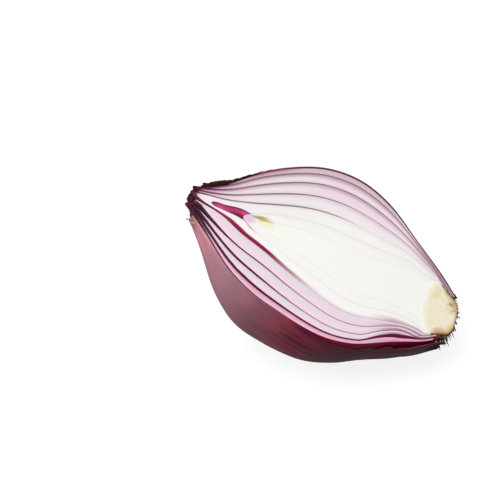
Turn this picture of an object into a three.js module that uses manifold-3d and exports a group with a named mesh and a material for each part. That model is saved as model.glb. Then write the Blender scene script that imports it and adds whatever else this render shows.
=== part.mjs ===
// Half of a red onion, cut from neck to root, lying on its skin with the cut face up and tilted.
// Millimetres, +Z up. The bulb is built as it grew, with its axis along +Y, its root end at y = 0 and
// the knife's cut on the plane z = 0, so the half that is kept lies behind it. It is then laid down.
import * as THREE from "three";
import { mergeGeometries, mergeVertices } from "three/addons/utils/BufferGeometryUtils.js";
import Module from "manifold-3d";

const wasm = await Module();
wasm.setup();

// Driving dimensions
const BULB_LENGTH = 92;
const BULB_DIAMETER = 69;
const SKIN_THICKNESS = 0.7;
const THINNEST_SCALE = 0.7;
const GAP = 0.3;

// How the half lies: the neck is lifted and the cut face is rolled towards the front, in degrees
const NECK_LIFT = 25.6;
const CUT_ROLL = 13.5;

// How much of the belly is worn to a flat spot
const FLAT_DEPTH = 1.1;

// The outline: shares of the length above the root end, with the radius there as a share of the diameter
const OUTLINE = [
  [0.03, 0.145],
  [0.08, 0.207],
  [0.2, 0.327],
  [0.33, 0.452],
  [0.455, 0.5],
  [0.645, 0.444],
  [0.77, 0.342],
  [0.897, 0.17],
  [0.96, 0.098],
  [1, 0.066],
];

// The bulb grew a little crooked: how far each height leans towards the front edge of the cut
const SWAY = [
  [0, 0.02],
  [0.14, 0],
  [0.3, -0.024],
  [0.57, -0.034],
  [0.71, 0],
  [0.87, 0.032],
  [1, 0.018],
];

// Each layer from the skin inwards: the share of the radius where it starts, and the heights of its tip
// and of its foot. A layer with a closed tip wraps over what it holds.
const LAYERS = [
  { name: "dry_skin", start: 1, tip: 88, foot: 4.2, colour: 0x5a1230, roughness: 0.35 },
  { name: "scale_1", start: 1, tip: 89.4, foot: 5, colour: 0x7d2147, roughness: 0.3 },
  { name: "scale_2", start: 0.925, tip: 92, foot: 7.4, colour: 0xd9a9c4, roughness: 0.3 },
  { name: "scale_3", start: 0.81, tip: 91.4, foot: 9.4, colour: 0xe3bfd3, roughness: 0.3 },
  { name: "scale_4", start: 0.66, tip: 90, foot: 8, colour: 0xe9d3dd, roughness: 0.3 },
  { name: "scale_5", start: 0.5, tip: 85.6, foot: 8, closed: true, colour: 0xefe9e4, roughness: 0.3 },
  { name: "scale_6", start: 0.34, tip: 79.6, foot: 8, closed: true, colour: 0xf2eee6, roughness: 0.3 },
  { name: "heart", start: 0.2, tip: 72.6, foot: 8, closed: true, colour: 0xf4f0e4, roughness: 0.3 },
];
const CROWD_AT_NECK = 1.5;
const CROWD_AT_ROOT = 0.6;
const LAYER_FACETS = 18;
const TIP_LENGTH = 11;
const TIP_WALL = 2.4;
const PAST_END = 2;
const STATIONS = 20;
const HEM_WAVE = 1.3;
const HEM_WAVES = 9;
const HEM_REACH = 7;

// The young shoot in the heart, a spindle on the axis
const SHOOT_FOOT = 60;
const SHOOT_TIP = 70.6;
const SHOOT_RADIUS = 1.3;
const SHOOT_FACETS = 6;
const SHOOT_STATIONS = 5;

// The root plate: its outline in (radius, height) from its underside round the rim to the crown
const PLATE_CROWN = 14.6;
const PLATE_OUTLINE = [
  [0, 0],
  [4.5, 0.4],
  [7.3, 1.7],
  [8.6, 3.8],
  [10.2, 6.2],
  [11.9, 8.6],
  [11.4, 11.2],
  [8.4, 13.6],
  [0, PLATE_CROWN],
];
const PLATE_FACETS = 16;

// Cut and dried rootlets, set round the underside by the golden angle
const ROOTLET_COUNT = 34;
const ROOTLET_RADIUS = 0.55;
const ROOTLET_LENGTH = [3.2, 5];
const ROOTLET_SUNK = 1.4;
const ROOTLET_SIDES = 4;
const ROOTLET_RING = [4, 7.4];
const ROOTLET_SPREAD = 0.75;
const ROOTLET_EDGE = 0.16;
const UNDERSIDE_RISE = 1.7;
const ROOTLET_SEED = 7;
const GOLDEN_ANGLE = Math.PI * (3 - Math.sqrt(5));
const ROOT_COLOUR = 0xc9b487;
const SHOOT_COLOUR = 0xd8d79a;

const MERGE_DISTANCE = 1e-4;

// Smooth curves through the outline and the sway, both read by height in millimetres
function curveThrough(rows) {
  const heights = rows.map(([share]) => share * BULB_LENGTH);
  const values = rows.map(([, share]) => share * BULB_DIAMETER);
  const curve = new THREE.CubicInterpolant(heights, values, 1);
  const [lowest, highest] = [heights[0], heights[heights.length - 1]];
  return (height) => curve.evaluate(THREE.MathUtils.clamp(height, lowest, highest))[0];
}
const radiusAt = curveThrough(OUTLINE);
const swayAt = curveThrough(SWAY);

// Towards the neck the layers crowd to the axis, and towards the root they crowd to the skin
function crowdAt(height) {
  const share = THREE.MathUtils.smoothstep(height / BULB_LENGTH, 0.05, 0.95);
  return THREE.MathUtils.lerp(CROWD_AT_ROOT, CROWD_AT_NECK, share);
}

// The outside of a layer at a height, never closer than a thin wall to the layer outside it
function startOf(layer, height) {
  if (layer === 0) return radiusAt(height);
  const outside = startOf(layer - 1, height);
  if (layer === 1) return outside - SKIN_THICKNESS - GAP;
  const ownShare = radiusAt(height) * LAYERS[layer].start ** crowdAt(height);
  return Math.min(outside - THINNEST_SCALE - GAP, ownShare);
}

// How much of its radius a layer keeps near a tip that closes on the axis
function noseAt(height, tip) {
  const along = THREE.MathUtils.clamp((height - tip + TIP_LENGTH) / TIP_LENGTH, 0, 1);
  return Math.sqrt(1 - along * along);
}

// Heights from a foot to a tip, closer towards the neck. All the layers share them, so walls stay parallel.
const sharedStations = Array.from({ length: STATIONS }, (_, i) => {
  const quarterTurn = (Math.PI / 2) * (i / STATIONS);
  return BULB_LENGTH * Math.sin(quarterTurn);
});
function stations(foot, tip) {
  const between = sharedStations.filter((height) => height > foot + 1 && height < tip - 1);
  return [foot, ...between, tip];
}

// The section of all that lies within a layer's outside, from the axis at its foot to its tip
function outsideProfile(layer) {
  const { tip, foot, closed } = LAYERS[layer];
  const edge = stations(foot, tip).map((height) => {
    const nose = closed ? noseAt(height, tip) : 1;
    return new THREE.Vector2(startOf(layer, height) * nose, height);
  });
  return closeOnAxis(edge);
}

// The section of the room within a layer, which runs out past its foot, and past its tip if that is open
function insideProfile(layer) {
  const { tip, foot, closed } = LAYERS[layer];
  const roomTip = closed ? tip - TIP_WALL : tip + PAST_END;
  const edge = stations(foot - PAST_END, roomTip).map((height) => {
    const nose = closed ? noseAt(height, roomTip) : 1;
    return new THREE.Vector2((startOf(layer + 1, height) + GAP) * nose, height);
  });
  return closeOnAxis(edge);
}

function closeOnAxis(edge) {
  const foot = new THREE.Vector2(0, edge[0].y);
  const tip = new THREE.Vector2(0, edge[edge.length - 1].y);
  return [foot, ...edge, tip];
}

// Every layer leans with the bulb, the outer ones most
function lean(point) {
  const share = Math.min(1, Math.hypot(point.x, point.z) / radiusAt(point.y));
  point.x -= swayAt(point.y) * share;
}

// The skin's torn hems: near its neck and root ends it is drawn up and down along the bulb
function tearHems(point) {
  const { tip, foot } = LAYERS[0];
  const { smoothstep } = THREE.MathUtils;
  if (Math.hypot(point.x, point.z) < MERGE_DISTANCE) return;
  const nearNeck = smoothstep(point.y, tip - HEM_REACH, tip);
  const nearRoot = 1 - smoothstep(point.y, foot, foot + HEM_REACH);
  const angle = Math.atan2(point.z, point.x);
  const height = point.y + HEM_WAVE * (nearNeck - nearRoot) * Math.sin(HEM_WAVES * angle);
  const radius = radiusAt(height);
  point.set(radius * Math.cos(angle), height, radius * Math.sin(angle));
}

function movePoints(geometry, move) {
  const { position } = geometry.attributes;
  const point = new THREE.Vector3();
  for (let i = 0; i < position.count; i++) {
    move(point.fromBufferAttribute(position, i));
    position.setXYZ(i, point.x, point.y, point.z);
  }
}

// A closed geometry as a solid, with its shared vertices merged and its collapsed triangles left out
function solidFrom(geometry) {
  geometry.deleteAttribute("normal");
  geometry.deleteAttribute("uv");
  movePoints(geometry, lean);
  const merged = mergeVertices(geometry, MERGE_DISTANCE);
  const index = merged.index.array;
  const triangles = [];
  for (let i = 0; i < index.length; i += 3) {
    const [a, b, c] = index.slice(i, i + 3);
    if (a !== b && b !== c && c !== a) triangles.push(a, b, c);
  }
  return new wasm.Manifold(
    new wasm.Mesh({
      numProp: 3,
      vertProperties: merged.attributes.position.array,
      triVerts: new Uint32Array(triangles),
    }),
  );
}

// A section turned half round the axis behind the cut, closed by its two cut faces
function halfTurn(profile, facets, torn = false) {
  const wall = new THREE.LatheGeometry(profile, facets, Math.PI / 2, Math.PI);
  const rightFace = new THREE.ShapeGeometry(new THREE.Shape(profile));
  const leftFace = rightFace.clone().scale(-1, 1, 1);
  leftFace.setIndex(Array.from(leftFace.index.array).reverse());
  const half = mergeGeometries([wall, rightFace, leftFace]);
  if (torn) movePoints(half, tearHems);
  return solidFrom(half);
}

// A section turned fully round the axis, used to cut with
function fullTurn(profile, facets) {
  return solidFrom(new THREE.LatheGeometry(profile, 2 * facets));
}

// The root plate's section, or the seat cut for it when it is grown by a gap
function plateProfile(gap) {
  const middle = PLATE_CROWN / 2;
  return PLATE_OUTLINE.map(([radius, height]) => {
    const grownRadius = radius === 0 ? 0 : radius + gap;
    return new THREE.Vector2(grownRadius, height + gap * Math.sign(height - middle));
  });
}

// The young shoot's section, or the hollow for it when it is grown by a gap
function shootProfile(gap) {
  return Array.from({ length: SHOOT_STATIONS + 1 }, (_, i) => {
    const along = i / SHOOT_STATIONS;
    const height = THREE.MathUtils.lerp(SHOOT_FOOT - gap, SHOOT_TIP + gap, along);
    const onAxis = i === 0 || i === SHOOT_STATIONS;
    const radius = onAxis ? 0 : SHOOT_RADIUS * Math.sin(Math.PI * along) + gap;
    return new THREE.Vector2(radius, height);
  });
}

// A repeatable run of numbers from 0 to 1, by the multiply-and-remainder rule
function seededNumbers(seed) {
  const multiplier = 16807;
  const modulus = 2 ** 31 - 1;
  let state = seed;
  return () => {
    state = (state * multiplier) % modulus;
    return state / modulus;
  };
}

// One rootlet: a thin cone that grows out and down from the plate's underside
function rootlet(angle, ringRadius, length) {
  const outwards = new THREE.Vector3(Math.sin(angle), 0, Math.cos(angle));
  const direction = outwards.clone().multiplyScalar(ROOTLET_SPREAD).setY(-1).normalize();
  const underside = UNDERSIDE_RISE * (ringRadius / ROOTLET_RING[1]) ** 2;
  const root = outwards.multiplyScalar(ringRadius).setY(underside);
  const cone = new THREE.ConeGeometry(ROOTLET_RADIUS, length + ROOTLET_SUNK, ROOTLET_SIDES);
  cone.translate(0, (length - ROOTLET_SUNK) / 2, 0);
  cone.applyQuaternion(new THREE.Quaternion().setFromUnitVectors(THREE.Object3D.DEFAULT_UP, direction));
  cone.translate(root.x, root.y, root.z);
  return solidFrom(cone);
}

// The root plate with its rootlets fused on, all of them behind the cut
function rootPlate() {
  const random = seededNumbers(ROOTLET_SEED);
  let plate = halfTurn(plateProfile(0), PLATE_FACETS);
  for (let i = 0; i < ROOTLET_COUNT; i++) {
    const turn = (i * GOLDEN_ANGLE) % Math.PI;
    const angle = Math.PI / 2 + THREE.MathUtils.clamp(turn, ROOTLET_EDGE, Math.PI - ROOTLET_EDGE);
    const ringRadius = THREE.MathUtils.lerp(...ROOTLET_RING, Math.sqrt(random()));
    const length = THREE.MathUtils.lerp(...ROOTLET_LENGTH, random());
    plate = plate.add(rootlet(angle, ringRadius, length));
  }
  return plate;
}

// The way down once the half is laid, in the bulb's own frame
const laid = new THREE.Euler(
  THREE.MathUtils.degToRad(CUT_ROLL),
  THREE.MathUtils.degToRad(NECK_LIFT),
  Math.PI / 2,
  "YXZ",
);
const standUp = new THREE.Quaternion().setFromEuler(laid).invert();
const down = new THREE.Vector3(0, 0, -1).applyQuaternion(standUp);

function lowestReach(solid) {
  const { numProp, numVert, vertProperties } = solid.getMesh();
  const point = new THREE.Vector3();
  let lowest = -Infinity;
  for (let i = 0; i < numVert; i++) {
    point.fromArray(vertProperties, i * numProp);
    lowest = Math.max(lowest, point.dot(down));
  }
  return lowest;
}

function flattenBelow(solid, depth) {
  const up = down.clone().negate();
  return solid.trimByPlane(up.toArray(), -depth);
}

// The layers, each with its flat spot a thin wall above the one outside it, and seated on the root plate
const plateSeat = fullTurn(plateProfile(GAP), PLATE_FACETS);
const layerSolids = [];
let flatLevel = 0;
LAYERS.forEach((_, layer) => {
  const whole = halfTurn(outsideProfile(layer), LAYER_FACETS, layer === 0);
  if (layer === 0) flatLevel = lowestReach(whole) - FLAT_DEPTH;
  const body = flattenBelow(whole, flatLevel).subtract(plateSeat);
  flatLevel -= THINNEST_SCALE;
  if (layer === LAYERS.length - 1) {
    const shootHollow = fullTurn(shootProfile(GAP), SHOOT_FACETS);
    layerSolids.push(body.subtract(shootHollow));
  } else {
    const room = flattenBelow(fullTurn(insideProfile(layer), LAYER_FACETS), flatLevel);
    layerSolids.push(body.subtract(room));
  }
  flatLevel -= GAP;
});

function pieceMesh(name, solid, color, roughness) {
  const { vertProperties, triVerts } = solid.getMesh();
  const geometry = new THREE.BufferGeometry();
  geometry.setAttribute("position", new THREE.BufferAttribute(vertProperties, 3));
  geometry.setIndex(new THREE.BufferAttribute(triVerts, 1));
  geometry.computeVertexNormals();
  const material = new THREE.MeshStandardMaterial({ color, roughness, metalness: 0 });
  const mesh = new THREE.Mesh(geometry, material);
  mesh.name = name;
  return mesh;
}

const onion = new THREE.Group();
LAYERS.forEach(({ name, colour, roughness }, layer) => {
  onion.add(pieceMesh(name, layerSolids[layer], colour, roughness));
});
onion.add(pieceMesh("young_shoot", halfTurn(shootProfile(0), SHOOT_FACETS), SHOOT_COLOUR, 0.4));
onion.add(pieceMesh("root_plate", rootPlate(), ROOT_COLOUR, 0.8));

// Laid down on the flat spot, with the origin under the middle of what the half covers
onion.rotation.copy(laid);
onion.updateMatrixWorld(true);
const extent = new THREE.Box3().setFromObject(onion, true);
const middle = extent.getCenter(new THREE.Vector3());
onion.position.set(-middle.x, -middle.y, -extent.min.z);

const part = new THREE.Group();
part.add(onion);

export default part;
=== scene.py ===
"""Half of a red onion, cut from neck to root and laid on its skin with the cut face up.

Sizes are millimetres in the bulb's own frame: +Y runs along its axis from the root end to the neck, the
knife's cut is the plane z = 0, the half that is kept lies behind it, and -X is the front edge of the cut.
Every piece is laid down with the bulb, in metres, when it is finished.
"""

from bisect import bisect_right
from functools import cache
from math import atan2, cos, exp, hypot, pi, radians, sin, sqrt
from random import Random

import bmesh
import bpy
from mathutils import Color, Matrix, Vector, noise


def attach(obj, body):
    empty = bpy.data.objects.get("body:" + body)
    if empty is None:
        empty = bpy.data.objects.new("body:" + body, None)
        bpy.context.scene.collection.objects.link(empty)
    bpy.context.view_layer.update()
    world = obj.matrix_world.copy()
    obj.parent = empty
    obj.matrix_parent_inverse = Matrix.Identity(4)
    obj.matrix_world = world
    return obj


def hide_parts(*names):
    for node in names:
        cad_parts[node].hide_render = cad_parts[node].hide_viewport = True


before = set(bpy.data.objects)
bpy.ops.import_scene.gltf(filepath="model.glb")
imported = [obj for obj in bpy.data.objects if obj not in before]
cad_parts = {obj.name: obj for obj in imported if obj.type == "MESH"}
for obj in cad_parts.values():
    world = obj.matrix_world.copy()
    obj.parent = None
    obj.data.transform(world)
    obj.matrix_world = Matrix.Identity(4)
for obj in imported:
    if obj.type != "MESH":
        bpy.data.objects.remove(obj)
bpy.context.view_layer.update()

# Root plate. The short corky stem at the foot of the bulb, which every scale grows from.
# It is cream and fibrous where the knife went through it, and dries to a rough brown rim outside.
BULB_LENGTH = 92
BULB_DIAMETER = 69
OUTLINE = [(0.03, 0.145), (0.08, 0.207), (0.2, 0.327), (0.33, 0.452), (0.455, 0.5), (0.645, 0.444),
           (0.77, 0.342), (0.897, 0.17), (0.96, 0.098), (1, 0.066)]
SWAY = [(0, 0.02), (0.14, 0), (0.3, -0.024), (0.57, -0.034), (0.71, 0), (0.87, 0.032), (1, 0.018)]
ROOT_END = Vector((40.48, -2.9, 13.34))
NECK_LIFT = radians(25.6)
CUT_ROLL = radians(13.5)
MILLIMETRE = 0.001
TOUCHING = 1e-3
SHARP_EDGE = radians(55)
LAID = (Matrix.Scale(MILLIMETRE, 4) @ Matrix.Translation(ROOT_END) @ Matrix.Rotation(NECK_LIFT, 4, "Y")
        @ Matrix.Rotation(CUT_ROLL, 4, "X") @ Matrix.Rotation(pi / 2, 4, "Z"))


def lerp(start, end, share):
    return start + (end - start) * share


def smoothstep(value, low, high):
    share = min(max((value - low) / (high - low), 0), 1)
    return share * share * (3 - 2 * share)


def curve_through(points):
    """A smooth curve through (place, value) points. Its slope at a point is the mean of those beside it."""
    places = [place for place, _ in points]
    slopes = [(b[1] - a[1]) / (b[0] - a[0]) for a, b in zip(points, points[1:])]
    tangents = [slopes[0], *((a + b) / 2 for a, b in zip(slopes, slopes[1:])), slopes[-1]]

    @cache
    def curve(place):
        place = min(max(place, places[0]), places[-1])
        i = min(bisect_right(places, place), len(places) - 1) - 1
        span = places[i + 1] - places[i]
        t = (place - places[i]) / span
        from_start = points[i][1] * (1 + 2 * t) + tangents[i] * span * t
        from_end = points[i + 1][1] * (3 - 2 * t) - tangents[i + 1] * span * (1 - t)
        return from_start * (1 - t) ** 2 + from_end * t * t

    return curve


radius_at = curve_through([(share * BULB_LENGTH, part * BULB_DIAMETER) for share, part in OUTLINE])
sway_at = curve_through([(share * BULB_LENGTH, part * BULB_DIAMETER) for share, part in SWAY])
roundness_at = curve_through([(0, 1.04), (8, 1.03), (14, 0.985), (21, 0.945), (28, 0.945), (36, 0.975),
                              (44, 1), (51, 1.05), (58, 1.1), (66, 1.09), (78, 1), (92, 0.88)])
front_crowd = curve_through([(8, 1), (14, 0.9), (24, 0.78), (34, 0.74), (45, 0.93), (55, 1.05), (63, 1.2),
                             (72, 1.13), (80, 1), (92, 1)])
back_crowd = curve_through([(8, 1), (13, 0.75), (19, 0.6), (25, 0.74), (30, 0.86), (38, 0.97), (58, 1),
                            (66, 1.08), (72, 1.17), (84, 1.2), (92, 1.2)])
root_squeeze = curve_through([(9, 0), (16, 0.13), (22, 0.09), (28, 0), (29, 0), (92, 0)])
neck_squeeze = curve_through([(0, 0), (59, 0), (60, 0), (66, 0.08), (73, 0.2), (80, 0.45), (88, 0.4),
                              (92, 0.3)])
SQUEEZED_AT_ROOT = (0.5, 0.8)
SPARED_AT_ROOT = (0.88, 1)
SPARED_AT_NECK = (0.36, 0.58)


def half_turn(section, columns, rows, steps):
    """Half a turn of a section behind the cut. section(across, along) gives a radius and a height, where
    across runs from the outside to the inside. Each vertex keeps how deep it lies under the outside, how
    far it lies from the inside, and how far along it is, as its layer attribute."""
    bm = bmesh.new()
    bmesh.ops.create_grid(bm, x_segments=columns, y_segments=rows, size=0.5)
    layer = bm.verts.layers.float_vector.new("layer")
    for vert in bm.verts:
        across, along = vert.co.x + 0.5, vert.co.y + 0.5
        place, outside, inside = (Vector(section(share, along)) for share in (across, 0, 1))
        vert.co = (*place, 0)
        vert[layer] = ((place - outside).length, (place - inside).length, place.y / BULB_LENGTH)
    strip = bm.verts[:] + bm.edges[:] + bm.faces[:]
    bmesh.ops.spin(bm, geom=strip, cent=(0, 0, 0), axis=(0, 1, 0), angle=pi, steps=steps)
    bmesh.ops.remove_doubles(bm, verts=bm.verts, dist=TOUCHING)
    bmesh.ops.recalc_face_normals(bm, faces=bm.faces)
    return bm


def on_cut(vert):
    return abs(vert.co.z) < TOUCHING


def lean(bm):
    """The bulb grew crooked. Its layers crowd outwards in some places and inwards in others, not alike at
    the front and the back of the cut. At the front the outer layers are squeezed near the root and the
    inner ones near the neck. All of it leans a little and is not quite round."""
    for vert in bm.verts:
        x, height, z = vert.co
        radius = hypot(x, z)
        if radius < 1e-6:
            continue
        share = min(1, radius / radius_at(height))
        front = 0.5 - 0.5 * x / radius
        grown = share ** lerp(back_crowd(height), front_crowd(height), front)
        squeezed = smoothstep(share, *SQUEEZED_AT_ROOT) * (1 - smoothstep(share, *SPARED_AT_ROOT))
        squeeze = root_squeeze(height) * squeezed
        squeeze += neck_squeeze(height) * (1 - smoothstep(share, *SPARED_AT_NECK))
        grown *= 1 - squeeze * front * front
        vert.co.x = x * grown / share - sway_at(height) * grown
        vert.co.z = z * grown / share * roundness_at(height)


def lay_down(name, bm, finish, nodes=(), rest=0.0):
    """Lays a piece down with the bulb, pressed flat where it would sink below rest, and hands it over."""
    bulb = bm.verts.layers.float_vector.new("bulb")
    for vert in bm.verts:
        vert[bulb] = vert.co
    bm.transform(LAID)
    for vert in bm.verts:
        vert.co.z = max(vert.co.z, rest * MILLIMETRE)
    mesh = bpy.data.meshes.new(name)
    bm.to_mesh(mesh)
    bm.free()
    mesh.shade_smooth()
    mesh.set_sharp_from_angle(angle=SHARP_EDGE)
    mesh.materials.append(finish.material)
    piece = bpy.data.objects.new(name, mesh)
    bpy.context.scene.collection.objects.link(piece)
    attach(piece, "root")
    if nodes:
        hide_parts(*nodes)


class Shade:
    """A value in a finish that varies from place to place. Arithmetic on it gives another such value."""

    def __init__(self, finish, socket):
        self.finish = finish
        self.socket = socket

    def math(self, operation, first, second):
        return self.finish.node("Math", {"operation": operation}, {0: first, 1: second})

    def __add__(self, other):
        return self.math("ADD", self, other)

    def __sub__(self, other):
        return self.math("SUBTRACT", self, other)

    def __rsub__(self, other):
        return self.math("SUBTRACT", other, self)

    def __mul__(self, other):
        return self.math("MULTIPLY", self, other)

    def __truediv__(self, other):
        return self.math("DIVIDE", self, other)

    __radd__ = __add__
    __rmul__ = __mul__


class Finish:
    """A finish that is worked out by rule. Values that don't vary are set on its shader directly."""

    def __init__(self, name, constants):
        self.material = bpy.data.materials.new(name)
        self.material.use_nodes = True
        self.tree = self.material.node_tree
        self.shader = self.tree.nodes["Principled BSDF"]
        for socket, value in constants.items():
            self.shader.inputs[socket].default_value = value

    def node(self, kind, settings, sockets, output=0):
        node = self.tree.nodes.new("ShaderNode" + kind)
        for setting, value in settings.items():
            setattr(node, setting, value)
        for key, value in sockets.items():
            self.feed(node.inputs[key], value)
        return Shade(self, node.outputs[output])

    def feed(self, socket, value):
        if isinstance(value, Shade):
            self.tree.links.new(value.socket, socket)
        else:
            socket.default_value = value

    def attribute(self, name):
        return self.node("Attribute", {"attribute_name": name}, {}, "Vector")

    def parts(self, vector):
        return [self.node("SeparateXYZ", {}, {0: vector}, axis) for axis in range(3)]

    def step(self, value, low, high):
        sockets = {"Value": value, "From Min": low, "From Max": high}
        return self.node("MapRange", {"interpolation_type": "SMOOTHSTEP"}, sockets)

    def mix(self, share, first, second):
        return self.node("Mix", {"data_type": "RGBA"}, {0: share, 6: first, 7: second}, 2)

    def cloud(self, vector, stretch, detail=3.0):
        stretched = self.node("VectorMath", {"operation": "MULTIPLY"}, {0: vector, 1: stretch})
        sockets = {"Vector": stretched, "Scale": 1.0, "Detail": detail, "Roughness": 0.55}
        return self.node("TexNoise", {}, sockets)

    def blob(self, x, height, middle, reach):
        """1 at a spot of the cut, falling off to 0 at its reach."""
        across = (x - middle[0]) / reach[0]
        along = (height - middle[1]) / reach[1]
        return self.step(across * across + along * along, 1.0, 0.0)

    def bump(self, height, distance, strength=1.0):
        sockets = {"Height": height, "Distance": distance * MILLIMETRE, "Strength": strength}
        self.feed(self.shader.inputs["Normal"], self.node("Bump", {}, sockets))

    def paint(self, socket, value):
        self.feed(self.shader.inputs[socket], value)


def seen(red, green, blue):
    """A colour as it looks on screen, from 0 to 255, in the linear values that a shader takes."""
    return (*Color((red / 255, green / 255, blue / 255)).from_srgb_to_scene_linear(), 1.0)


PLATE_OUTLINE = [(0, 0), (4.5, 0.4), (7.3, 1.7), (8.6, 3.8), (10.2, 6.2), (11.9, 8.6), (11.4, 11.2),
                 (8.4, 13.6), (0, 14.6)]
PLATE_CROWN = PLATE_OUTLINE[-1][1]
PLATE_SUNK = -0.08
PLATE_PROUD = 0.04
PLATE_SLOPE = 3.2
CROWN_FALL = 0.022
CROWN_SINKS = (10.5, 14.2)
CORK_DEPTH = 0.6
CORK_ENDS = (5, 8)
CORK_GRAIN = 1.1
plate_radius = curve_through([(i, radius) for i, (radius, _) in enumerate(PLATE_OUTLINE)])
plate_height = curve_through([(i, height) for i, (_, height) in enumerate(PLATE_OUTLINE)])


def plate_section(across, along):
    at = along * (len(PLATE_OUTLINE) - 1)
    return plate_radius(at) * (1 - across), lerp(plate_height(at), PLATE_CROWN * along, across)


plate = half_turn(plate_section, columns=14, rows=72, steps=64)
layer = plate.verts.layers.float_vector["layer"]
for vert in plate.verts:
    depth = vert[layer].x
    if on_cut(vert):
        domed = vert.co.y + CROWN_FALL * vert.co.x ** 2
        from_rim = smoothstep(depth, 0, PLATE_SLOPE) * (1 - smoothstep(domed, *CROWN_SINKS))
        vert.co.z = lerp(PLATE_SUNK, PLATE_PROUD, from_rim)
    elif depth < TOUCHING:
        outward = Vector((vert.co.x, vert.co.y - PLATE_CROWN / 2, vert.co.z)).normalized()
        below = 1 - smoothstep(vert.co.y, *CORK_ENDS)
        vert.co += outward * CORK_DEPTH * below * noise.fractal(vert.co * CORK_GRAIN, 0.8, 2.0, 4)
lean(plate)

plate_finish = Finish("corky_root_plate", {"Specular IOR Level": 0.3})
bulb = plate_finish.attribute("bulb")
x, height, _ = plate_finish.parts(bulb)
depth, _, _ = plate_finish.parts(plate_finish.attribute("layer"))
fibres = plate_finish.cloud(bulb, (1.6, 0.35, 1.6), 4.0)
mottle = plate_finish.cloud(bulb, (0.5, 0.5, 0.5), 3.0)
grain = plate_finish.step(fibres * 0.4 + mottle * 0.6, 0.3, 0.7)
cream = plate_finish.mix(grain, seen(235, 225, 190), seen(243, 236, 214))
yellow = plate_finish.blob(x, height, (6.4, 9.8), (4.6, 4.0)) * 0.75
cream = plate_finish.mix(yellow, cream, seen(228, 219, 162))
toward_crown = plate_finish.step(height + x * x * CROWN_FALL + mottle * 3.0, 10.4, 14.2)
cream = plate_finish.mix(toward_crown, cream, seen(245, 244, 237))
rim = plate_finish.step(depth + mottle * 1.6, 4.2, 1.0) * plate_finish.step(height, 7.5, 4.5)
cream = plate_finish.mix(rim, cream, seen(206, 178, 116))
specks = plate_finish.step(mottle + fibres, 0.85, 1.15)
ochre = plate_finish.blob(x, height, (3.4, 2.2), (3.8, 2.6)) * specks
cream = plate_finish.mix(ochre, cream, seen(168, 136, 72))
frayed_skin = plate_finish.blob(x, height, (-10.0, 4.6), (3.4, 3.0)) * mottle * 1.3
cream = plate_finish.mix(frayed_skin, cream, seen(214, 142, 124))
cork = plate_finish.mix(fibres, seen(58, 44, 28), seen(150, 122, 78))
outside = plate_finish.step(depth + mottle * 0.9, 1.35, 0.6) * plate_finish.step(height, 8.5, 6.5)
plate_finish.paint("Base Color", plate_finish.mix(outside, cream, cork))
plate_finish.paint("Roughness", 0.45 + outside * 0.4)
plate_finish.bump(fibres, 0.25, 0.6)
lay_down("root_plate_cut", plate, plate_finish, ["root_plate"])

# Rootlets. What is left of the roots under the plate: thin grey-brown bristles, cut off short, that curl as
# they dry. They grow out of the plate's corky underside, most of them close to the cut.
ROOTLETS = 190
ROOTLET_RING = (0.6, 8.6)
ROOTLET_LENGTH = (0.2, 1.6)
ROOTLET_RADIUS = 0.26
ROOTLET_SUNK = 0.8
ROOTLET_CROWDING = 0.13
ROOTLET_TURN = (0.01, 0.99)
ROOTLET_SPREAD = (0.3, 1.4)
ROOTLET_CURL = 0.6
ROOTLET_BEHIND_CUT = -0.05
UNDERSIDE_RADIUS = 7.3
UNDERSIDE_RISE = 1.7
BRISTLE_SIDES = 5
BRISTLE_JOINTS = 4
BRISTLE_TAPER = 0.35
GOLDEN_ANGLE = pi * (3 - sqrt(5))
chance = Random(7)


def bristle(bm, foot, grows, length, radius, curl):
    """Adds a thin tapering bristle that grows from foot and bends by curl at its tip."""
    already = len(bm.verts)
    bmesh.ops.create_cone(bm, cap_ends=True, segments=BRISTLE_SIDES, radius1=radius,
                          radius2=radius * BRISTLE_TAPER, depth=1.0)
    bm.verts.ensure_lookup_table()
    sides = {edge for vert in bm.verts[already:] for edge in vert.link_edges
             if edge.verts[0].co.z * edge.verts[1].co.z < 0}
    bmesh.ops.subdivide_edges(bm, edges=list(sides), cuts=BRISTLE_JOINTS)
    bm.verts.ensure_lookup_table()
    upright = grows.to_track_quat("Z", "Y")
    for vert in bm.verts[already:]:
        share = vert.co.z + 0.5
        vert.co.z = 0
        vert.co = foot + upright @ vert.co + grows * length * share + curl * share ** 2


rootlets = bmesh.new()
for i in range(ROOTLETS):
    share = (i * GOLDEN_ANGLE / pi) % 1
    turn = lerp(*ROOTLET_TURN, share - ROOTLET_CROWDING * sin(2 * pi * share)) * pi
    ring = lerp(*ROOTLET_RING, sqrt(chance.random()))
    length = lerp(*ROOTLET_LENGTH, chance.random() ** 2.2)
    outwards = Vector((cos(turn), 0, -sin(turn)))
    grows = (outwards * lerp(*ROOTLET_SPREAD, chance.random()) + Vector((0, -1, 0))).normalized()
    curl = Vector((chance.uniform(-1, 1), chance.uniform(-1, 1), chance.uniform(-1, 0.2)))
    curl *= ROOTLET_CURL * length
    rise = UNDERSIDE_RISE * (ring / UNDERSIDE_RADIUS) ** 2.2
    foot = outwards * ring + Vector((0, rise, 0)) - grows * ROOTLET_SUNK
    bristle(rootlets, foot, grows, length + ROOTLET_SUNK, ROOTLET_RADIUS, curl)
for vert in rootlets.verts:
    vert.co.z = min(vert.co.z, ROOTLET_BEHIND_CUT)
bmesh.ops.recalc_face_normals(rootlets, faces=rootlets.faces)
lean(rootlets)

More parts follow.
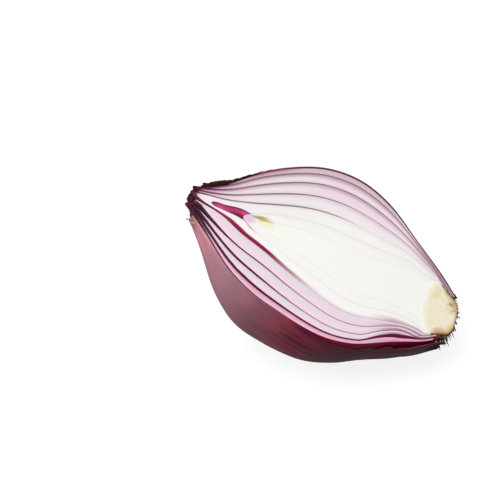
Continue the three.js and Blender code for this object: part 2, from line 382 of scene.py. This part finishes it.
rootlet_finish = Finish("dried_rootlet", {"Roughness": 0.75, "Specular IOR Level": 0.25})
dust = rootlet_finish.cloud(rootlet_finish.attribute("bulb"), (1.3, 0.9, 1.3), 3.0)
dark_or_pale = rootlet_finish.step(dust, 0.4, 0.62)
rootlet_brown = rootlet_finish.mix(dark_or_pale, seen(44, 36, 30), seen(120, 106, 86))
rootlet_finish.paint("Base Color", rootlet_brown)
lay_down("rootlets", rootlets, rootlet_finish)

# Heart. The white middle of the bulb, young leaves so tightly packed that the cut shows only faint lines.
# Like every layer outside it, it stands on the root plate and thins towards the neck.
STARTS = [1, 1, 0.925, 0.81, 0.66, 0.5, 0.34, 0.2]
crowd_at = curve_through([(6, 0.1), (12, 0.55), (20, 0.9), (46, 1.05), (70, 1.3), (88, 1.5)])
SKIN_THICKNESS = 0.35
THINNEST_SCALE = 0.75
SEAM = 0.06
FOOT_SUNK = -0.03
FOOT_RISES = (15, 23)
SWELL_REACH = 1.2
GROOVE_SHARPNESS = 6
TIP_LENGTH = 11
HEART = 7
HEART_TIP = 69.5
INNER_FOOT = 8
INNER_SWELL = 0.02


@cache
def start_of(layer, height):
    """The outside radius of a layer at a height, counted from the dry skin inwards."""
    outline = radius_at(height)
    if layer < 2:
        return outline - layer * (SKIN_THICKNESS + SEAM)
    return min(start_of(layer - 1, height) - THINNEST_SCALE, outline * STARTS[layer] ** crowd_at(height))


def nose_at(height, tip, length=TIP_LENGTH):
    """How much of its radius a layer keeps near a tip that closes on the axis."""
    along = min(max((height - tip + length) / length, 0), 1)
    return sqrt(1 - along * along)


def crown_cut(bm, swell, groove=0.1):
    """The wet scales swell a little where they are cut, and sink along their edges."""
    layer = bm.verts.layers.float_vector["layer"]
    for vert in bm.verts:
        if on_cut(vert):
            depth, to_inside, _ = vert[layer]
            edge = min(depth, to_inside)
            above_foot = smoothstep(vert.co.y, *FOOT_RISES)
            relief = swell * smoothstep(edge, 0, SWELL_REACH) - groove * exp(-edge * GROOVE_SHARPNESS)
            vert.co.z = lerp(FOOT_SUNK, relief, above_foot)


def flesh(name, near_pale, far_pale, near_line, far_line, near_width, far_width, blush, far_blush=1.0,
          pink_reach=0.8, near_kept=1.0, far_kept=1.0):
    """Cut onion flesh: a coloured skin line on the outside of the scale, a blush under it, pale within.
    Near values are for the front half of the cut and far values for the back half. Lines are strong
    towards the neck, and towards the root near_kept and far_kept of their strength are left. A near width
    is given at the neck and at the root."""
    wet = Finish(name, {"Specular IOR Level": 0.2, "Subsurface Weight": 0.1, "Subsurface Scale": 0.0006})
    bulb = wet.attribute("bulb")
    x, _, _ = wet.parts(bulb)
    depth, to_inside, along = wet.parts(wet.attribute("layer"))
    near = wet.step(x, 3.0, -5.0)
    streaks = wet.cloud(bulb, (1.3, 0.04, 1.3), 4.0)
    patches = wet.cloud(bulb, (0.11, 0.07, 0.11), 3.0)
    to_neck = wet.step(along + patches * 0.12, 0.76, 1.0)
    darker, lighter = (wet.mix(near, seen(*far), seen(*close)) for far, close in zip(far_pale, near_pale))
    colour = wet.mix(streaks, darker, lighter)
    bleached = wet.step(along + patches * 0.1, 0.54, 0.72) * (1 - near) * blush
    colour = wet.mix(bleached * 0.75, colour, seen(233, 227, 229))

    from_outside = depth / (depth + to_inside + 0.01)
    pink = wet.step(from_outside, pink_reach, 0.05) * near * (0.5 + patches * 0.9) * blush
    colour = wet.mix(pink, colour, seen(242, 208, 225))
    mauve = wet.step(depth, 2.9, 0.3) * (1 - near) * (0.8 + patches * 0.6) * (blush * far_blush)
    colour = wet.mix(mauve, colour, seen(186, 150, 167))
    colour = wet.mix(to_neck * (0.25 + near * 0.3), colour, seen(242, 206, 224))

    violet = wet.step(along, 0.78, 0.84) * (1 - near) * wet.step(patches, 0.42, 0.58)
    under_line = wet.step(depth, 1.8, 0.4) * (0.7 * blush)
    colour = wet.mix(violet * under_line, colour, seen(164, 70, 138))

    foot = near * wet.step(along + patches * 0.06, 0.34, 0.22) * wet.step(from_outside, 0.85, 0.2) * blush
    colour = wet.mix(foot * 0.85, colour, seen(150, 14, 92))

    line = wet.mix(near, seen(*far_line), seen(*near_line))
    line = wet.mix(wet.step(along, 0.82, 0.94) * (1 - near), line, seen(112, 34, 80))
    line = wet.mix(wet.step(along, 0.86, 0.95) * near, line, seen(52, 16, 34))
    thickened = near_width[1] + wet.step(along, 0.45, 0.9) * (near_width[0] - near_width[1])
    far_thickened = far_width * (1 + wet.step(along, 0.5, 0.75) * 0.7)
    width = far_thickened + near * (thickened - far_thickened)
    width = width * (0.85 + streaks * 0.3) * (1 + near * wet.step(along, 0.88, 0.97) * 0.4)
    near_strength = near_kept + wet.step(along + patches * 0.06, 0.5, 0.72) * (1 - near_kept)
    far_strength = far_kept + wet.step(along + patches * 0.06, 0.42, 0.56) * (1 - far_kept)
    strength = far_strength + near * (near_strength - far_strength)
    colour = wet.mix(wet.step(depth / width, 1.2, 0.75) * strength, colour, line)
    dried = wet.step(along + streaks * 0.14, 1.02, 1.08)
    colour = wet.mix(dried, colour, seen(76, 34, 50))
    wet.paint("Roughness", 0.36 + streaks * 0.16)
    wet.bump(streaks, 0.08, 0.5)
    return wet, colour


def warm_tip(wet, colour):
    """Adds the yellow tint of the flesh round the young shoot."""
    x, height, _ = wet.parts(wet.attribute("bulb"))
    glow = wet.blob(x, height, (2.0, 66.5), (3.2, 4.0))
    return wet.mix(glow * 0.55, colour, seen(240, 224, 150))


def heart_section(across, along):
    height = lerp(INNER_FOOT, HEART_TIP, along)
    outside = start_of(HEART, height) * nose_at(height, HEART_TIP)
    return outside * (1 - across), height


heart = half_turn(heart_section, columns=14, rows=110, steps=40)
lean(heart)
crown_cut(heart, INNER_SWELL, groove=0)
CORE_WHITE = ((239, 239, 232), (248, 248, 243))
CORE_LINE = (236, 234, 226)
heart_flesh, heart_colour = flesh("white_heart", CORE_WHITE, CORE_WHITE, CORE_LINE, CORE_LINE, (0.3, 0.3),
                                  far_width=0.25, blush=0.0)
heart_flesh.paint("Base Color", warm_tip(heart_flesh, heart_colour))
lay_down("heart_cut", heart, heart_flesh, ["heart"])

# Young shoot. The sliver of a leaf bud in the tip of the heart, moist and yellow-green, that would have
# grown into next year's leaves. The knife laid it open, and it stands a little proud of the white flesh.
SHOOT_FOOT = 63.5
SHOOT_TIP = 71.4
SHOOT_RADIUS = 0.7
SHOOT_PROUD = 0.3
SHOOT_LEAN = (3.36, 1.68)
SHOOT_RIPENS = 5


def shoot_section(across, along):
    return SHOOT_RADIUS * sin(pi * along) ** 0.8 * (1 - across), lerp(SHOOT_FOOT, SHOOT_TIP, along)


shoot = half_turn(shoot_section, columns=4, rows=24, steps=20)
for vert in shoot.verts:
    along = (vert.co.y - SHOOT_FOOT) / (SHOOT_TIP - SHOOT_FOOT)
    if on_cut(vert):
        vert.co.z = SHOOT_PROUD * sin(pi * along)
    vert.co.x += lerp(*SHOOT_LEAN, along)

MOIST_BUD = {"Roughness": 0.35, "Subsurface Weight": 0.15, "Subsurface Scale": 0.0008}
shoot_finish = Finish("young_shoot_green", MOIST_BUD)
shoot_bulb = shoot_finish.attribute("bulb")
_, shoot_height, _ = shoot_finish.parts(shoot_bulb)
shoot_veins = shoot_finish.cloud(shoot_bulb, (3.0, 0.2, 3.0), 2.0)
green = shoot_finish.mix(shoot_veins, seen(138, 118, 66), seen(206, 190, 122))
ripe = shoot_finish.step(shoot_height, SHOOT_FOOT, SHOOT_FOOT + SHOOT_RIPENS)
shoot_finish.paint("Base Color", shoot_finish.mix(ripe, seen(246, 243, 226), green))
shoot_finish.bump(shoot_veins, 0.1, 0.5)
lay_down("young_shoot_cut", shoot, shoot_finish, ["young_shoot"])

# Inner scales. Two thick young leaf bases that close over the heart, white with faint lines. The outer one
# has shrunk away above the inner one's tip, which leaves a narrow hollow lined with magenta skin, with shade
# painted into it.
INNER_TIPS = {6: 73.6, 5: 91.0}
INNER_NOSES = {6: TIP_LENGTH, 5: 5}
HOLLOW_TIP = 84.2
HOLLOW_FOOT = 70.5
HOLLOW_BLEND = 2.5
INNER_SEAM = 0.015
hollow_radius = curve_through([(70, 2.0), (73, 2.8), (76, 2.6), (80, 1.9), (83.4, 1.2), (HOLLOW_TIP, 0.05)])
hollow_middle = curve_through([(70, 0.3), (75.4, 0.8), (80, 0.0), (HOLLOW_TIP, -0.4)])


def inner_scale_section(layer_index):
    tip = INNER_TIPS[layer_index]
    room_tip = HOLLOW_TIP if layer_index == 5 else HEART_TIP + INNER_SEAM

    def section(across, along):
        outer_height = lerp(INNER_FOOT, tip, along)
        inner_height = lerp(INNER_FOOT, room_tip, along)
        outer = start_of(layer_index, outer_height) * nose_at(outer_height, tip, INNER_NOSES[layer_index])
        held_tip = INNER_TIPS.get(layer_index + 1, HEART_TIP) + INNER_SEAM
        inner = start_of(layer_index + 1, inner_height) * nose_at(inner_height, held_tip) + INNER_SEAM
        if layer_index == 5 and inner_height > HOLLOW_FOOT:
            inner = max(inner, hollow_radius(inner_height))
        return lerp(outer, inner, across), lerp(outer_height, inner_height, across)

    return section


def line_hollow(bm):
    """Moves the hollow to its place beside the axis and marks its wall."""
    layer = bm.verts.layers.float_vector["layer"]
    hollow = bm.verts.layers.float.new("hollow")
    for vert in bm.verts:
        depth, to_inside, _ = vert[layer]
        share = depth / max(depth + to_inside, 1e-6)
        above = smoothstep(vert.co.y, HOLLOW_FOOT, HOLLOW_FOOT + HOLLOW_BLEND)
        vert.co.x += hollow_middle(vert.co.y) * share * above
        vert[hollow] = above if to_inside < TOUCHING else 0


INNER_PALE = dict(near_pale=((240, 238, 234), (248, 248, 244)), far_pale=((238, 236, 231), (247, 246, 242)))
inner_looks = {
    6: dict(near_line=(230, 226, 220), far_line=(228, 224, 219), near_width=(0.3, 0.3), far_width=0.3,
            blush=0.05),
    5: dict(near_line=(138, 14, 60), far_line=(146, 122, 131), near_width=(2.2, 1.3), far_width=0.55,
            blush=0.6, far_blush=0.25, pink_reach=0.3, near_kept=0.05, far_kept=0.1),
}
for layer_index, looks in inner_looks.items():
    scale = half_turn(inner_scale_section(layer_index), columns=14, rows=150, steps=48)
    lean(scale)
    crown_cut(scale, INNER_SWELL, groove=0)
    line_hollow(scale)
    name = f"inner_scale_{layer_index}"
    wet, colour = flesh(name, **INNER_PALE, **looks)
    lining = wet.node("Attribute", {"attribute_name": "hollow"}, {}, "Fac")
    hollow_x, hollow_height, hollow_z = wet.parts(wet.attribute("bulb"))
    _, from_lip, _ = wet.parts(wet.attribute("layer"))
    # The magenta lining of the hollow with painted shade in it: darker deep down in the hollow and towards
    # its front. It is darker again along the cut's edge.
    magenta_and_painted_shade = wet.mix(wet.step(hollow_z, -2.0, -1.0), seen(118, 0, 52), seen(228, 92, 150))
    magenta_and_painted_shade = wet.mix(wet.step(hollow_x, 0.2, -0.6), magenta_and_painted_shade, seen(112, 0, 48))
    magenta_and_painted_shade = wet.mix(wet.step(hollow_z, -0.32, -0.1), magenta_and_painted_shade, seen(104, 14, 56))
    if layer_index == 5:
        beside = wet.step(from_lip, 1.2, 0.0) * wet.step(hollow_x, 0.6, -0.6)
        lip_reach = wet.step(hollow_height, 67.5, 70.5) * wet.step(hollow_height, 85.0, 82.0)
        colour = wet.mix(beside * lip_reach * 0.85, colour, seen(170, 74, 138))
    stain = wet.blob(hollow_x, hollow_height, (0.4, 72.2), (3.0, 3.6))
    colour = wet.mix(stain * 0.75, colour, seen(220, 178, 218))
    colour = warm_tip(wet, colour)
    wet.paint("Base Color", wet.mix(wet.step(lining, 0.25, 0.75), colour, magenta_and_painted_shade))
    lay_down(name, scale, wet, [f"scale_{layer_index}"])

# Outer scales. The thick fleshy leaf bases that store the bulb's water, each with a thin purple skin on
# its outside. They run open into the neck, where they thin, part and dry.
NEAR_PALE = ((218, 208, 218), (234, 224, 231))
FAR_PALE = ((226, 206, 217), (241, 223, 233))
OUTER_PALES = {
    4: dict(near_pale=NEAR_PALE, far_pale=((232, 222, 227), (243, 234, 238))),
    3: dict(near_pale=NEAR_PALE, far_pale=FAR_PALE),
    2: dict(near_pale=NEAR_PALE, far_pale=FAR_PALE),
    1: dict(near_pale=((212, 160, 186), (226, 184, 206)), far_pale=((206, 186, 194), (222, 205, 212))),
}
outer_looks = {
    4: dict(near_line=(74, 8, 42), far_line=(140, 114, 126), near_width=(0.42, 0.36), far_width=0.5,
            blush=0.75, far_blush=0.5, near_kept=0.5, far_kept=0.45),
    3: dict(near_line=(76, 12, 46), far_line=(140, 112, 125), near_width=(0.85, 0.36), far_width=0.5,
            blush=0.85, near_kept=0.6),
    2: dict(near_line=(82, 6, 46), far_line=(138, 112, 123), near_width=(0.95, 0.7), far_width=0.55,
            blush=0.95),
    1: dict(near_line=(120, 16, 60), far_line=(92, 48, 66), near_width=(0.3, 0.12), far_width=0.3,
            blush=0.4),
}
OUTER_ENDS = {4: (7.0, 89.0), 3: (5.2, 90.4), 2: (3.2, 91.2), 1: (2.4, 88.8)}
OUTER_LIFTS = {4: 0, 3: 0, 2: 0.8, 1: 3.4}
LIFT_REACH = 9
OUTER_SWELL = 0.12
INNER_REST = 0.8
THINNEST_NECK = 0.25
NECK_PARTS_FROM = 76
NECK_PARTING = 0.35
FRAY_REACH = 5
FRAY_DEPTH = 0.9
FRAY_GRAIN = 2.3


def open_section_of(layer_index, foot, tip):
    def section(across, along):
        height = lerp(foot, tip, along)
        outer = start_of(layer_index, height)
        parting = SEAM + NECK_PARTING * smoothstep(height, NECK_PARTS_FROM, BULB_LENGTH)
        inner = min(start_of(layer_index + 1, height) + parting, outer - THINNEST_NECK)
        return lerp(outer, inner, across), height

    return section


def draw_up(bm, foot, lift):
    """A layer ends higher at the front than at the back, so there its foot is drawn up along the bulb."""
    for vert in bm.verts:
        x, height, z = vert.co
        front = 0.5 - 0.5 * x / hypot(x, z)
        higher = height + lift * front ** 2 * (1 - smoothstep(height, foot, foot + LIFT_REACH))
        wider = radius_at(higher) / radius_at(height)
        vert.co = (x * wider, higher, z * wider)


def fray_tip(bm, tip):
    """Tears a layer's end at the neck: points near the tip are drawn up and down along the bulb."""
    for vert in bm.verts:
        near = smoothstep(vert.co.y, tip - FRAY_REACH, tip)
        if near > 0:
            turn = atan2(vert.co.z, vert.co.x)
            radius = hypot(vert.co.x, vert.co.z)
            vert.co.y += near * FRAY_DEPTH * noise.noise(Vector((turn * FRAY_GRAIN, tip, 0.5 * radius)))


for layer_index, looks in outer_looks.items():
    foot, tip = OUTER_ENDS[layer_index]
    scale = half_turn(open_section_of(layer_index, foot, tip), columns=10, rows=140, steps=56)
    draw_up(scale, foot, OUTER_LIFTS[layer_index])
    lean(scale)
    crown_cut(scale, OUTER_SWELL)
    fray_tip(scale, tip)
    name = f"fleshy_scale_{layer_index}"
    outermost = layer_index == 1
    wet, colour = flesh(name, **OUTER_PALES[layer_index], **looks)
    on_outside, _, up_neck = wet.parts(wet.attribute("layer"))
    if outermost:
        at_back, _, _ = wet.parts(wet.attribute("bulb"))
        bruise = wet.step(at_back, 14.0, 20.0) * wet.step(up_neck, 0.62, 0.74)
        near_skin = wet.step(on_outside, 2.0, 0.2)
        colour = wet.mix(near_skin * bruise * 0.8, colour, seen(146, 36, 84))
    outside = wet.mix(wet.step(up_neck, 0.7, 0.9), seen(164, 18, 60), seen(70, 16, 36))
    wet.paint("Base Color", wet.mix(wet.step(on_outside, 0.1, 0.02), colour, outside))
    lay_down(name, scale, wet, [f"scale_{layer_index}"],
             rest=SKIN_THICKNESS + SEAM if outermost else INNER_REST)

# Dry skin. The outermost leaf, dried to a thin papery sheet with a satin sheen and fine lengthwise veins.
# It is torn at the neck and the root, and along the front of the cut it has shrunk back from the flesh.
# Shade near the floor, light bounced from the floor and some of its sheen are painted into its colour.
SKIN_TIP = 88
SKIN_FOOT = 2.2
SKIN_LIFT = 0.4
PLEATS = 15
PLEATED = (66, 90)
PLEAT_DEPTH = 0.3
CREASE_DEPTH = 0.12
LOOSE_REACH = 1.5
LOOSE_FROM = (1.4, 2.4)
TORN_TIP = 7
TORN_FOOT = 6
front_shrink = curve_through([(0, 0.0), (6, 0.2), (12, 1.4), (18, 2.4), (26, 2.8), (36, 1.8), (46, 0.3),
                              (60, 0.0), (61, 0.0), (92, 0.0)])
loose_at = curve_through([(0, 0.3), (6, 0.6), (12, 0.85), (18, 0.5), (26, 0.0), (27, 0.0), (92, 0.0)])


def skin_section(across, along):
    height = lerp(SKIN_FOOT, SKIN_TIP, along)
    return radius_at(height) - SKIN_THICKNESS * across, height


skin = half_turn(skin_section, columns=1, rows=140, steps=120)
draw_up(skin, SKIN_FOOT, SKIN_LIFT)
around = skin.verts.layers.float.new("around")
for vert in skin.verts:
    height, radius = vert.co.y, hypot(vert.co.x, vert.co.z)
    turn = atan2(abs(vert.co.z), vert.co.x)
    vert[around] = turn
    wander = noise.noise(Vector((height * 0.35, 2, 7))) + 0.5 * noise.noise(Vector((height * 1.1, 4, 7)))
    shrink = front_shrink(height) * (1 + 0.5 * wander) / radius
    turn *= (pi - shrink) / pi
    ripple = noise.noise(Vector((turn * 3, height * 0.1, 0)))
    pleat = smoothstep(height, *PLEATED) * PLEAT_DEPTH * (1 + sin(PLEATS * turn + 1.2 * ripple))
    crease = CREASE_DEPTH * (1 + noise.noise(Vector((turn * 14, height * 0.05, 3))))
    loose = LOOSE_REACH * loose_at(height) * smoothstep(turn, *LOOSE_FROM)
    loose *= 0.75 + 0.6 * noise.noise(Vector((turn * 4, height * 0.12, 11)))
    radius += pleat + crease + loose
    vert.co.x, vert.co.z = radius * cos(turn), -radius * sin(turn)
    torn = smoothstep(height, SKIN_TIP - TORN_TIP, SKIN_TIP)
    torn -= 1.4 * (1 - smoothstep(height, SKIN_FOOT, SKIN_FOOT + TORN_FOOT))
    rip = 1.3 * noise.noise(Vector((turn * 6, 5, 0))) + 0.8 * noise.noise(Vector((turn * 17, 9, 0)))
    vert.co.y += torn * rip
lean(skin)

PAPERY = {"Specular IOR Level": 0.4, "Sheen Weight": 0.05, "Sheen Roughness": 0.3}
skin_finish = Finish("dry_purple_skin", PAPERY)
skin_bulb = skin_finish.attribute("bulb")
_, skin_height, _ = skin_finish.parts(skin_bulb)
turned = skin_finish.node("Attribute", {"attribute_name": "around"}, {}, "Fac")
combined = skin_finish.node("CombineXYZ", {}, {0: turned, 1: skin_height, 2: 0.0})
veins = skin_finish.cloud(combined, (34.0, 0.035, 1.0), 5.0)
broad = skin_finish.cloud(combined, (2.2, 0.045, 1.0), 3.0)
wine = skin_finish.mix(skin_finish.step(veins, 0.36, 0.66), seen(70, 6, 30), seen(138, 32, 64))
wine = skin_finish.mix(skin_finish.step(broad, 0.5, 0.68) * 0.8, wine, seen(150, 16, 56))
# Lighter, greyer mauve up towards the neck: partly the dry skin's faded colour, partly a painted sheen.
faded_and_painted_sheen = skin_finish.step(skin_height + broad * 14, 50, 84)
wine = skin_finish.mix(faded_and_painted_sheen * 0.76, wine, seen(170, 126, 138))
# Painted shade: the skin turns near-black low on the bulb, where it comes down to the floor.
painted_floor_shade = skin_finish.step(skin_height + broad * 12, 50, 34)
wine = skin_finish.mix(painted_floor_shade * 0.8, wine, seen(44, 8, 22))
salmon = skin_finish.step(skin_height + broad * 6, 79, 86)
wine = skin_finish.mix(salmon * 0.55, wine, seen(206, 126, 138))
# Painted light bounced from the floor: low on the bulb, along the front edge of the cut, the skin is lighter
# rose.
painted_floor_bounce = skin_finish.step(turned, 2.5, 2.9) * skin_finish.step(skin_height, 46, 34)
wine = skin_finish.mix(painted_floor_bounce * 0.3, wine, seen(150, 72, 94))
dry_end = skin_finish.step(skin_height + broad * 8, 86, 95)
wine = skin_finish.mix(dry_end, wine, seen(92, 58, 52))
dry_foot = skin_finish.step(skin_height + broad * 5, 10, 5.5)
wine = skin_finish.mix(dry_foot * 0.85, wine, seen(50, 30, 30))
skin_finish.paint("Base Color", wine)
skin_finish.paint("Roughness", 0.38 + veins * 0.2)
skin_finish.bump(veins, 0.12, 0.7)
lay_down("dry_skin_sheet", skin, skin_finish, ["dry_skin"])

# Neck skin. What is left of the dried leaves above the bulb: a dark brown flap of several skins that curls
# up along the back edge of the cut, with a pale frayed rim.
FLAP_FOOT = 67.0
FLAP_TIP = 88.6
FLAP_SUNK = (0.9, 0.25)
FLAP_RISES = 8
FLAP_TORN = 3
FLAP_THICKNESS = 0.3
FLAP_CURL = (radians(78), radians(40))
flap_width = curve_through([(FLAP_FOOT, 0.3), (74, 0.8), (80, 1.7), (85, 2.2), (FLAP_TIP, 1.5)])
flap_inset = curve_through([(FLAP_FOOT, 0.1), (74, 0.4), (80, 1.2), (FLAP_TIP, 1.3)])
flap = bmesh.new()
bmesh.ops.create_grid(flap, x_segments=8, y_segments=70, size=0.5)
rim = flap.verts.layers.float.new("rim")
for vert in flap.verts:
    across, along = vert.co.x + 0.5, vert.co.y + 0.5
    height = lerp(FLAP_FOOT, FLAP_TIP, along)
    fray = 0.25 * noise.noise(Vector((height * 0.9, 3, 0)))
    fray += 0.08 * noise.noise(Vector((height * 4.5, 6, 0)))
    width = flap_width(height) * (1 + fray) * across
    curl = lerp(*FLAP_CURL, across)
    ripple = 0.35 * across * noise.noise(Vector((height * 0.6, across * 2, 9)))
    torn = smoothstep(height, FLAP_TIP - FLAP_TORN, FLAP_TIP)
    rip = 0.6 * noise.noise(Vector((across * 6, 1, 5)))
    edge = radius_at(height) - flap_inset(height) - sway_at(height)
    sunk = lerp(*FLAP_SUNK, smoothstep(height, FLAP_FOOT, FLAP_FOOT + FLAP_RISES))
    vert.co = (edge + width * cos(curl) + ripple, height + torn * rip, width * sin(curl) - sunk)
    vert[rim] = across
bmesh.ops.recalc_face_normals(flap, faces=flap.faces)
flap.normal_update()
grown = bmesh.ops.extrude_face_region(flap, geom=flap.faces[:], use_keep_orig=True)["geom"]
for vert in [part for part in grown if isinstance(part, bmesh.types.BMVert)]:
    vert.co -= vert.normal * FLAP_THICKNESS
bmesh.ops.recalc_face_normals(flap, faces=flap.faces)

flap_finish = Finish("dried_neck_skin", {"Specular IOR Level": 0.25})
flap_bulb = flap_finish.attribute("bulb")
flap_rim = flap_finish.node("Attribute", {"attribute_name": "rim"}, {}, "Fac")
flap_veins = flap_finish.cloud(flap_bulb, (2.2, 0.22, 2.2), 4.0)
flap_patches = flap_finish.cloud(flap_bulb, (0.5, 0.35, 0.5), 3.0)
brown = flap_finish.mix(flap_finish.step(flap_veins, 0.35, 0.7), seen(30, 6, 10), seen(82, 24, 26))
frayed = flap_finish.step(flap_rim + flap_patches * 0.3, 1.06, 1.2)
flap_finish.paint("Base Color", flap_finish.mix(frayed, brown, seen(206, 150, 132)))
flap_finish.paint("Roughness", 0.45 + flap_veins * 0.3)
flap_finish.bump(flap_veins, 0.15, 0.8)
lay_down("neck_skin_flap", flap, flap_finish)

# Neck fibres. A tuft of the dry skin's own veins, thin and straw-coloured, left standing where the skin tore
# off at the front of the neck.
FIBRES = 11
FIBRE_FEET = (86.2, 89.0)
FIBRE_LENGTH = (1.0, 2.4)
FIBRE_RADIUS = 0.13
tuft = bmesh.new()
for i in range(FIBRES):
    height = chance.uniform(*FIBRE_FEET)
    foot = Vector((-radius_at(height) - sway_at(height) + 0.1, height, -chance.uniform(0.2, 3.2)))
    grows = Vector((chance.uniform(-0.9, -0.1), 1, chance.uniform(-0.5, 0.25))).normalized()
    curl = Vector((chance.uniform(-1, 0.6), chance.uniform(-0.4, 0.2), chance.uniform(-0.6, 0.6)))
    length = lerp(*FIBRE_LENGTH, chance.random())
    bristle(tuft, foot, grows, length, FIBRE_RADIUS, curl)
bmesh.ops.recalc_face_normals(tuft, faces=tuft.faces)
fibre_finish = Finish("dry_straw_fibre", {"Roughness": 0.7, "Specular IOR Level": 0.25})
fibre_tone = fibre_finish.cloud(fibre_finish.attribute("bulb"), (1.5, 0.8, 1.5), 2.0)
fibre_finish.paint("Base Color", fibre_finish.mix(fibre_tone, seen(150, 112, 92), seen(236, 218, 190)))
lay_down("neck_fibres", tuft, fibre_finish)

# Stage. A pale studio floor that only takes a faint shadow, with soft light from all round, a broad softbox
# above and a smaller one to the left.
FLOOR_REACH = 4
BULB_MIDDLE = (0, 0, 0.02)
stage_mesh = bpy.data.meshes.new("studio_floor")
stage_bm = bmesh.new()
bmesh.ops.create_grid(stage_bm, x_segments=1, y_segments=1, size=FLOOR_REACH)
stage_bm.to_mesh(stage_mesh)
stage_bm.free()
PALE_FLOOR = {"Base Color": (0.2, 0.2, 0.2, 1), "Roughness": 0.9, "Specular IOR Level": 0.0,
              "Emission Color": (1, 1, 1, 1), "Emission Strength": 0.85}
floor_finish = Finish("pale_floor", PALE_FLOOR)
stage_mesh.materials.append(floor_finish.material)
floor = bpy.data.objects.new("studio_floor", stage_mesh)
bpy.context.scene.collection.objects.link(floor)
floor.visible_diffuse = False
floor.visible_glossy = False


class StudioLight(Finish):
    """The light from all round, worked out by rule as a finish is."""

    def __init__(self, name):
        world = bpy.data.worlds.new(name)
        world.use_nodes = True
        bpy.context.scene.world = world
        self.tree = world.node_tree
        self.shader = self.tree.nodes["Background"]


studio_light = StudioLight("studio")
_, _, upward = studio_light.parts(studio_light.node("TexCoord", {}, {}, "Generated"))
studio_light.paint("Color", (1, 1, 1, 1))
studio_light.paint("Strength", 0.19 + 0.25 * studio_light.step(upward, -0.1, 0.5))


def softbox(name, place, size, watts):
    lamp = bpy.data.lights.new(name, "AREA")
    lamp.shape = "RECTANGLE"
    lamp.size, lamp.size_y = size
    lamp.energy = watts
    box = bpy.data.objects.new(name, lamp)
    box.location = place
    box.rotation_euler = (Vector(place) - Vector(BULB_MIDDLE)).to_track_quat("Z", "Y").to_euler()
    bpy.context.scene.collection.objects.link(box)


softbox("top_softbox", place=(-0.25, -0.3, 0.9), size=(1.1, 0.9), watts=10)
softbox("left_softbox", place=(-0.85, -0.3, 0.25), size=(0.6, 0.5), watts=5.5)
bpy.context.scene.view_settings.view_transform = "Standard"

# Camera. A long lens that looks down on the cut from the front and sees the root end at a set pixel of a
# square image.
IMAGE = 480
FOCAL_PIXELS = 2940.3
SENSOR = 36
AZIMUTH = radians(7.07)
ELEVATION = radians(32)
ROOT_PIXEL = (457, 318)
ROOT_DISTANCE = 906.5
right = Vector((cos(AZIMUTH), sin(AZIMUTH), 0))
back = Vector((sin(AZIMUTH) * cos(ELEVATION), -cos(AZIMUTH) * cos(ELEVATION), sin(ELEVATION)))
up = back.cross(right)
aside = (ROOT_PIXEL[0] - IMAGE / 2) / FOCAL_PIXELS * ROOT_DISTANCE
below = (ROOT_PIXEL[1] - IMAGE / 2) / FOCAL_PIXELS * ROOT_DISTANCE
eye = ROOT_END - right * aside + up * below + back * ROOT_DISTANCE
lens = bpy.data.cameras.new("camera")
lens.sensor_width = SENSOR
lens.lens = SENSOR * FOCAL_PIXELS / IMAGE
camera = bpy.data.objects.new("camera", lens)
camera.matrix_world = Matrix.Translation(eye * MILLIMETRE) @ Matrix((right, up, back)).transposed().to_4x4()
bpy.context.scene.collection.objects.link(camera)
bpy.context.scene.camera = camera
